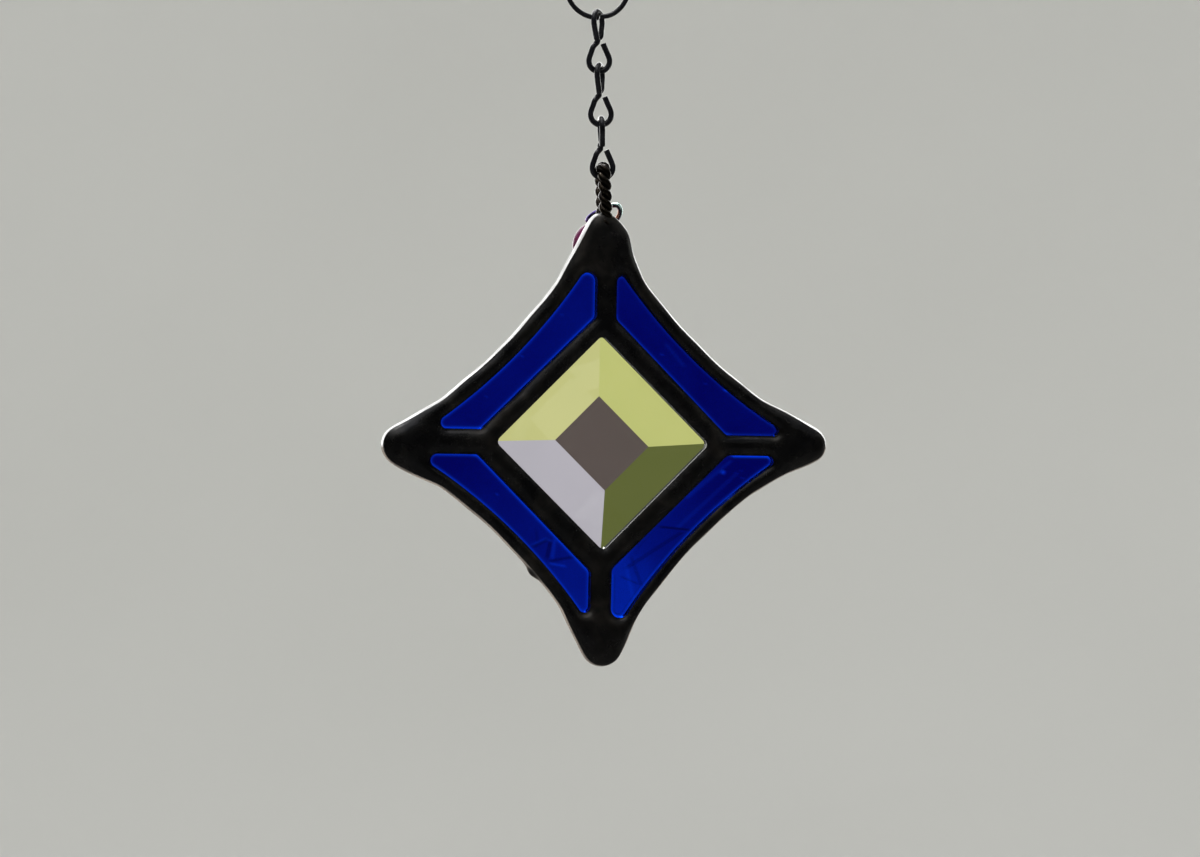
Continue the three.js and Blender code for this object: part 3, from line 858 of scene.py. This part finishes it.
# Folds and flecks in the sheets: from, to, half width, and how much lighter or darker.
MARKS = [
    [((9.4, 15.0), (12.4, 11.4), 0.25, 0.04), ((8.8, 13.4), (9.0, 13.2), 0.10, 0.6),
     ((18.3, 8.1), (19.0, 7.6), 0.13, 0.8), ((15.4, 9.0), (15.6, 8.8), 0.08, 0.5)],
    [((-12.4, 13.2), (-12.2, 13.0), 0.09, 0.5), ((-6.4, 19.4), (-6.2, 19.2), 0.09, 0.4),
     ((-17.8, 7.2), (-17.6, 7.0), 0.08, 0.4)],
    [((-10.8, -15.4), (-8.1, -14.2), 0.16, -0.6), ((-8.0, -14.5), (-8.6, -17.3), 0.16, -0.7),
     ((-8.2, -17.6), (-4.2, -16.9), 0.16, -0.5), ((-7.8, -17.3), (-7.3, -13.9), 0.20, 0.12),
     ((-8.3, -17.9), (-5.6, -18.4), 0.18, 0.12), ((-8.3, -14.5), (-8.1, -14.4), 0.16, 0.8),
     ((-10.2, -12.6), (-9.9, -15.6), 0.14, -0.3), ((-16.2, -7.4), (-16.0, -7.6), 0.09, 0.5),
     ((-11.0, -15.2), (-8.4, -14.1), 0.16, 0.10)],
    [((8.5, -12.6), (13.3, -13.1), 0.14, -0.6), ((3.2, -18.9), (12.0, -13.4), 0.14, -0.5),
     ((4.2, -17.0), (6.2, -22.6), 0.14, -0.4), ((5.0, -15.8), (12.0, -8.2), 0.14, -0.3),
     ((12.5, -8.4), (19.6, -2.6), 0.20, 0.09), ((11.2, -12.8), (20.4, -4.6), 0.16, 0.07),
     ((2.6, -20.0), (5.4, -21.2), 0.14, -0.3), ((18.1, -4.7), (18.4, -4.2), 0.24, 1.0),
     ((20.2, -4.7), (20.4, -4.6), 0.10, 0.8), ((20.9, -4.3), (21.0, -4.2), 0.10, 0.8),
     ((21.1, -5.4), (21.3, -5.3), 0.10, 0.8), ((3.4, -18.2), (4.8, -24.4), 0.20, 0.08)],
]


def set_attribute(obj, name, values):
    layer = obj.data.attributes.new(name, "FLOAT", "POINT")
    layer.data.foreach_set("value", np.asarray(values, float))


def crease(points, start, end, width):
    """How near each point is to a fine line, fading out at its ends."""
    start, end = np.asarray(start), np.asarray(end)
    length = np.linalg.norm(end - start)
    way = (end - start) / length
    side, along = (points - start) @ (-way[1], way[0]), (points - start) @ way
    fade = np.clip(along / 0.5 + 0.3, 0, 1) * np.clip((length - along) / 0.5 + 0.3, 0, 1)
    return fade * np.exp(-(side / width) ** 2)


def pane_piece(side, name):
    opening = strip_loop(side)
    loop = strip_loop(side, STRIP_LAP)
    flat, triangles, held = filled([loop], SHEET_STEP, (0.1,))
    shift = len(flat)
    ripple = np.clip(distance(flat, loop) / 0.8, 0, 1)
    front = -(SHEET / 2 - ripple * (0.02 + 0.005 * swell(flat, 51 + side, 6.0)))
    back = SHEET / 2 - ripple * (0.02 + 0.004 * swell(flat, 61 + side, 5.0))
    faces = both_faces(triangles, shift) + band(np.arange(held) + shift, np.arange(held))
    obj = new_object(name, np.vstack([placed(flat, front), placed(flat, back)]), faces, [BLUE])
    sharpen(obj, 40)
    # Painted light: a bright glow along the edges where the sheet meets the solder, and the sheet lighter
    # towards one end. The lighter marks below use the same glow colour.
    gap = distance(flat, opening)
    signed = gap * np.where(inside(flat, opening), 1, -1)
    start = side * QUARTER
    inner = line(start + QUARTER / 2, STRIP_INNER[side])
    on_outer = gap < flat @ inner[1] - inner[2] - 0.5
    strength = np.where(on_outer, OUTER_RIM_GLOW[side], INNER_RIM_GLOW[side])
    rim = strength * np.where(signed < 0, 1, np.exp(-(signed / 0.28) ** 2))
    towards_after = flat @ (unit(start + QUARTER) - unit(start)) / 50 + 0.5
    light = PANE_PAINTED_LIGHT[side][0] * (1 - towards_after) + PANE_PAINTED_LIGHT[side][1] * towards_after
    dark = np.zeros(shift)
    for first, last, width, shade in MARKS[side]:
        line_share = crease(flat, first, last, width)
        if shade < 0:
            dark = np.maximum(dark, np.minimum(-1.5 * shade, 1) * line_share)
        else:
            rim = np.maximum(rim, np.minimum(1.7 * shade, 1) * line_share)
    if side == LOWER_RIGHT:
        dark = np.maximum(dark, np.where(on_outer, 0.8 * np.exp(-((signed - 0.42) / 0.12) ** 2), 0))
    set_attribute(obj, "rim", np.tile(rim, 2))
    set_attribute(obj, "light", np.tile(light, 2))
    set_attribute(obj, "crease", np.tile(dark, 2))
    return obj


PLACES = ["upper_right", "upper_left", "lower_left", "lower_right"]
for side, place in enumerate(PLACES):
    pane = pane_piece(side, f"blue_strip_{place}")
    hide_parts(f"blue_pane_{place}")
    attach(pane, "root")


def bevelled_piece():
    """The clear square: flat towards the viewer, four ground bevels and a table behind."""
    base = clear_loop(CLEAR_LAP, SQUARE_CORNER)
    corners, table = [], []
    for corner in range(4):
        corners.append(base[(base @ unit(corner * QUARTER + CLEAR_TURN)).argmax()])
        normals = [unit(QUARTER / 2 + k * QUARTER + CLEAR_TURN) for k in (corner - 1, corner)]
        table.append(np.linalg.solve(np.array(normals), [TABLE_SIDE[corner - 1], TABLE_SIDE[corner]]))
    corners, table = np.array(corners), np.array(table)
    front = -SHEET / 2
    points = np.vstack([placed(corners, front), placed(corners, front + SQUARE_EDGE),
                        placed(table, front + SQUARE_THICK)])
    faces = [(0, 1, 2, 3), (11, 10, 9, 8)]
    for k in range(4):
        m = (k + 1) % 4
        faces += [(k + 4, m + 4, m, k), (k + 8, m + 8, m + 4, k + 4)]
    return new_object("bevelled_square", points, faces, [CLEAR], smooth=False)


square = bevelled_piece()
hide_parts("bevelled_centre")
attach(square, "root")

# ---- ring, chain and hanger

RING_INNER = 4.35
RING_WIRE = 0.77
RING_ENDS = (4, 361.5)
CHAIN_WIRE = 0.88
LINK_LENGTH = 9.78
LOOP_WIDTH = 4.0
WAIST_OFFSET = 0.6 * CHAIN_WIRE
WAIST_CROSS = 0.27
FREE_END = 0.13
# Degrees: how far each link's upper loop is turned, and how far the chain leans.
UPPER_TURNS = [32, 23, 3]
CHAIN_LEAN = 1.85
STRAND_WIRE = 1.06
STRAND_SPREAD = 0.5
TWIST_PITCH = 3.2
LEG_SPREAD = 1.55
LEG_DEPTH = 4.0
HANGER_LEAN = 2.2
CONTACT = 0.06

LINK_HALF = (LINK_LENGTH - CHAIN_WIRE) / 2
LOOP_RADIUS = (LOOP_WIDTH - CHAIN_WIRE) / 2
LINK_PITCH = 2 * LINK_HALF - CHAIN_WIRE - CONTACT
FIRST_TOP = -2 * RING_INNER + CONTACT + CHAIN_WIRE / 2
ROPE_TOP = FIRST_TOP - 2 * LINK_PITCH - 2 * LINK_HALF + CHAIN_WIRE / 2 + CONTACT + 1.0
BEND_CENTRE = ROPE_TOP - LEG_SPREAD
TIP_TOP = PANEL_Z + 34.5
LEG_LENGTH = BEND_CENTRE - TIP_TOP + LEG_DEPTH


def finish_wire(name, parts, material, node):
    obj = new_object(name, *joined(parts), [material])
    sharpen(obj, 50)
    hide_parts(node)
    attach(obj, "root")
    return obj


def ring_points():
    """Once round from the cut near the bottom, the first end bent in a little."""
    degrees = np.linspace(*RING_ENDS, 200)
    ease = np.clip(1 - (degrees - RING_ENDS[0]) / 28, 0, None)
    radius = RING_INNER + RING_WIRE / 2 - 0.2 * ease ** 2
    angle = np.radians(degrees - 90)
    return np.column_stack([radius * np.cos(angle), 0 * angle, radius * np.sin(angle) - RING_INNER])


def leg_point(part):
    """A point of a link's straight leg, as [offset, height]: it leaves the waist on the minus
    side and meets the round end."""
    centre = LINK_HALF - LOOP_RADIUS
    reach = math.hypot(WAIST_OFFSET, centre)
    lean = math.atan2(WAIST_OFFSET, centre) - math.asin(LOOP_RADIUS / reach)
    length = part * math.sqrt(reach ** 2 - LOOP_RADIUS ** 2)
    return -WAIST_OFFSET + length * math.sin(lean), length * math.cos(lean)


def round_end():
    """The loop's round end, from one leg over to the other."""
    centre = LINK_HALF - LOOP_RADIUS
    offset, height = leg_point(1)
    first = math.atan2(height - centre, offset) + 2 * math.pi
    angles = np.linspace(first, math.pi - first, 11)
    return [(LOOP_RADIUS * math.cos(a), centre + LOOP_RADIUS * math.sin(a)) for a in angles]


def link_points(upper_turn):
    """Free end beside the waist, up the near leg and over, down the far leg, across the waist
    and round the lower loop to the other free end."""
    turn = math.radians(upper_turn)
    legs = [leg_point(part) for part in (FREE_END, 0.35, 0.7)]
    first = legs + round_end() + [(-offset, height) for offset, height in reversed(legs[1:])]
    points = [(offset * math.sin(turn), offset * math.cos(turn), height) for offset, height in first]
    edge, height = legs[1]
    cross_from = QUARTER - turn
    for part in (0.25, 0.5, 0.75):
        angle = cross_from + part * (math.pi - cross_from)
        rise = 1 - 2 * part
        radius = WAIST_CROSS + abs(rise) * (-edge - WAIST_CROSS)
        points.append((radius * math.cos(angle), radius * math.sin(angle), rise * height))
    last = legs[1:] + round_end() + [(-offset, height) for offset, height in reversed(legs)]
    points += [(offset, 0, -height) for offset, height in last]
    return smooth_curve(points, 170)


def leaned(points, degrees, x, z):
    """Points about the origin, leaned to the right going down, then set at x and z."""
    across, up = unit(math.radians(degrees))
    points = np.asarray(points, float)
    return np.column_stack([x + points[:, 0] * across - points[:, 2] * up, points[:, 1],
                            z + points[:, 0] * up + points[:, 2] * across])


finish_wire("jump_ring", [wire_mesh(ring_points(), RING_WIRE / 2, 16)], WIRE, "hanging_ring")
for index, upper_turn in enumerate(UPPER_TURNS):
    points = link_points(upper_turn)
    points[:, 2] -= LINK_HALF + index * LINK_PITCH
    points = leaned(points, CHAIN_LEAN, 0, FIRST_TOP)
    finish_wire(f"figure_eight_{index + 1}", [wire_mesh(points, CHAIN_WIRE / 2, 16)], WIRE,
                f"chain_link_{index + 1}")


def strand_points(phase):
    """One of the two strands: up one leg, over the bend and down the other."""
    bend_length = math.pi * LEG_SPREAD
    travelled = np.linspace(0, 2 * LEG_LENGTH + bend_length, 420)
    bend = np.clip((travelled - LEG_LENGTH) / bend_length, 0, 1) * math.pi
    below = np.clip(LEG_LENGTH - travelled, 0, None)
    below += np.clip(travelled - LEG_LENGTH - bend_length, 0, None)
    turn = 2 * math.pi * travelled / TWIST_PITCH + phase
    sideways = STRAND_SPREAD * np.cos(turn)
    outwards = LEG_SPREAD + STRAND_SPREAD * np.sin(turn)
    return np.column_stack([sideways, -outwards * np.cos(bend), outwards * np.sin(bend) - below])


strands = [wire_mesh(leaned(strand_points(phase), HANGER_LEAN, PANEL_X, BEND_CENTRE), STRAND_WIRE / 2, 14)
           for phase in (0, math.pi)]
finish_wire("twisted_wires", strands, ROPE, "twisted_hanger")

# ---- bead and its wire

BEAD_RADIUS = 3.6
BEAD_BORE = 0.6
BEAD_Y = 2.8 + 0.2 + BEAD_RADIUS
BEAD_Z = TIP_TOP - 4.85
BEAD_WIRE = 0.75
# The wire's way about the bead's middle: from the back of the tip, up the bore, to the curl.
BEAD_ROUTE = [(0, 3.0, -4.45), (0, 4.6, -4.65), (0, BEAD_Y - 0.5, -4.4), (0, BEAD_Y, -3.6), (0, BEAD_Y, 0),
              (0, BEAD_Y, 3.5), (-0.45, BEAD_Y - 0.1, 4.0), (-1.15, 6.2, 3.9), (-1.45, 5.6, 3.85),
              (-1.3, 5.15, 4.2), (-0.85, 4.85, 4.65), (-0.2, 4.6, 5.05), (0.5, 4.35, 5.4), (1.4, 4.1, 5.85),
              (2.3, 3.9, 6.1), (2.9, 3.75, 6.0), (3.2, 3.6, 5.4), (3.1, 3.5, 4.65), (2.6, 3.4, 3.9),
              (1.9, 3.35, 3.2)]
CURL_X, CURL_Z, CURL_RADIUS = 1.9, 4.7, 1.3


def turned(profile, around):
    """Rings of points about the upright axis, one for each radius and height."""
    return [(r * math.cos(2 * math.pi * k / around), r * math.sin(2 * math.pi * k / around), z)
            for r, z in profile for k in range(around)]


def bead_piece():
    """A turned glass bead with a softened bore."""
    opening = math.asin(BEAD_BORE / BEAD_RADIUS) * 1.25
    angles = np.linspace(opening, math.pi - opening, 48)
    profile = [(BEAD_RADIUS * math.sin(a), -BEAD_RADIUS * math.cos(a)) for a in angles]
    (low_radius, _), (high_radius, end) = profile[0], profile[-1]

    def lip(radius, inwards):
        return BEAD_BORE + (radius - BEAD_BORE) * (1 - inwards * 8)

    profile += [(lip(high_radius, inwards), end - inwards * 0.35) for inwards in (0.06, 0.1)]
    profile += [(BEAD_BORE, end - 0.2), (BEAD_BORE, -end + 0.2)]
    profile += [(lip(low_radius, inwards), -end + inwards * 0.35) for inwards in (0.1, 0.06)]
    around = 64
    points = np.array(turned(profile, around)) + (PANEL_X, BEAD_Y, BEAD_Z)
    rings = [np.arange(i * around, (i + 1) * around) for i in range(len(profile))]
    faces = []
    for i, ring in enumerate(rings):
        faces += band(ring, rings[(i + 1) % len(rings)])
    obj = new_object("plum_bead", points, faces, [PLUM])
    sharpen(obj, 50)
    return obj


bead = bead_piece()
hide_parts("bead")
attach(bead, "root")

bead_middle = np.array([PANEL_X, 0, BEAD_Z])
route = smooth_curve(BEAD_ROUTE, 240) + bead_middle
curl = finish_wire("purple_curl", [wire_mesh(route, BEAD_WIRE / 2, 14)], PURPLE, "bead_wire")
# Painted highlights on the curl: pale round its outside and coppery on its inside.
at = np.array([vertex.co[:] for vertex in curl.data.vertices]) / MM - bead_middle
from_curl = np.hypot(at[:, 0] - CURL_X, at[:, 2] - CURL_Z)
on_curl = np.clip(at[:, 0] - 0.9, 0, 1)
set_attribute(curl, "outer", on_curl * np.clip((from_curl - CURL_RADIUS + 0.05) / 0.3, 0, 1))
set_attribute(curl, "inner", on_curl * np.clip((CURL_RADIUS + 0.05 - from_curl) / 0.3, 0, 1))

# ---- stage, camera and light

def stage_material():
    n = Nodes("stage_paint")
    tone = n.noise(400.0, 2.0)
    colour = n.ramp(tone, (0.3, (0.60, 0.60, 0.57)), (0.7, (0.64, 0.64, 0.61)))
    return n.surface(Base_Color=colour, Roughness=0.9)


def stage_piece():
    """A round floor that curves up into a plain wall."""
    floor, radius, curve, top = -620.0, 1900.0, 900.0, 1500.0
    profile = [(radius - curve, floor)]
    profile += [(radius - curve + curve * math.sin(a), floor + curve * (1 - math.cos(a)))
                for a in np.linspace(0.05, QUARTER, 24)]
    profile.append((radius, top))
    around = 96
    points = turned(profile, around) + [(0, 0, floor)]
    faces = [face[::-1] for face in tube(len(profile), around)]
    faces += [(len(points) - 1, k, (k + 1) % around) for k in range(around)]
    return new_object("stage", points, faces, [stage_material()])


stage_piece()


def area_light(name, centre, target, size, power):
    data = bpy.data.lights.new(name, "AREA")
    data.shape = "RECTANGLE"
    data.size, data.size_y = size[0] * MM, size[1] * MM
    data.energy = power
    lamp = linked(name, data)
    lamp.location = Vector(centre) * MM
    lamp.rotation_euler = (Vector(target) - Vector(centre)).to_track_quat("-Z", "Y").to_euler()
    lamp.visible_camera = False
    return lamp


def card(name, points, colour, seen_by):
    """A plain card that only some rays see. Its points run along one edge, then the other."""
    n = Nodes(name)
    tone = n.noise(90.0, 1.0)
    n.surface(Base_Color=(0, 0, 0, 1), Roughness=1.0, Specular_IOR_Level=0, Emission_Strength=1,
              Emission_Color=n.mix(tone, colour, tuple(level * 1.1 for level in colour)))
    count = len(points) // 2
    faces = [(i, i + 1, count + i + 1, count + i) for i in range(count - 1)]
    obj = new_object(name, points, faces, [n.material])
    for kind in ("camera", "diffuse", "glossy", "transmission", "shadow"):
        setattr(obj, f"visible_{kind}", kind == seen_by)


def tinted_card(name, x, z, half, colour):
    """A square on its corner, 900 mm behind the glass."""
    points = [(x - half, 900, z), (x, 900, z - half), (x, 900, z + half), (x + half, 900, z)]
    card(name, points, colour, "transmission")


# The tinted cards and the sky show through the clear glass, and the others are mirrored.
tinted_card("card_upper_right", 53, -195, 85, (0.525, 0.545, 0.175))
tinted_card("card_upper_left", 255, -218, 85, (0.585, 0.580, 0.245))
tinted_card("card_lower_left", 248, -13, 85, (0.47, 0.445, 0.505))
tinted_card("card_lower_right", 46, -6, 85, (0.112, 0.129, 0.030))
tinted_card("card_middle", 144, -108, 32, (0.094, 0.071, 0.066))
FLAG_DISTANCE = 1100
flag = [(FLAG_DISTANCE * math.sin(a), -FLAG_DISTANCE * math.cos(a), z) for z in (-560, 520)
        for a in np.radians(np.linspace(-100, 100, 25))]
card("front_flag", flag, (0.02, 0.02, 0.02), "glossy")
card("sky_card", [(x, 1000, z) for z in (-450, 250) for x in (-200, 500)], (0.95, 0.95, 0.95), "transmission")
card("ground_card", [(x, 1200, z) for z in (-900, -135) for x in (-500, 1100)], (0.80, 0.69, 0.58), "glossy")
card("floor_flag", [(x, y, -480) for y in (-1000, 1000) for x in (-1000, 1000)], (0.13, 0.13, 0.13), "glossy")

MIDDLE = (PANEL_X, 0, PANEL_Z)
window = area_light("back_window", (200, 1250, 300), (200, 0, 300), (1800, 860), 14)
top = area_light("top_strip", (-120, 420, 1050), (0, 0, -50), (900, 260), 8)
for lamp in (window, top):
    lamp.visible_transmission = False
area_light("wall_wash", (0, 300, 1350), (0, 1700, -100), (1800, 700), 9)
area_light("top_soft", (-300, -300, 1250), MIDDLE, (1200, 1200), 7)
fills = [area_light("front_left", (-700, -650, 350), MIDDLE, (250, 500), 2.4),
         area_light("front_right", (800, -500, 100), MIDDLE, (200, 500), 1.6)]
for lamp in fills:
    lamp.visible_glossy = False

world = bpy.data.worlds.new("world")
bpy.context.scene.world = world
world.use_nodes = True
sky = world.node_tree.nodes["Background"]
sky.inputs["Color"].default_value = (0.9, 0.93, 1.0, 1)
sky.inputs["Strength"].default_value = 0.25

AZIMUTH, ELEVATION, DISTANCE = math.radians(-9), math.radians(2), 650.0
# From the clear square's middle to where the camera aims.
AIM_RIGHT, AIM_UP = -0.435, 2.22
data = bpy.data.cameras.new("camera")
data.sensor_width = 36
data.lens = 130
camera = linked("camera", data)
bpy.context.scene.camera = camera
right = Vector((math.cos(AZIMUTH), math.sin(AZIMUTH), 0))
back = Vector((math.sin(AZIMUTH) * math.cos(ELEVATION), -math.cos(AZIMUTH) * math.cos(ELEVATION),
               math.sin(ELEVATION)))
aim = Vector(MIDDLE) + AIM_RIGHT * right + AIM_UP * back.cross(right)
camera.location = (aim + DISTANCE * back) * MM
camera.rotation_euler = (-back).to_track_quat("-Z", "Y").to_euler()

bpy.context.scene.view_settings.view_transform = "Standard"
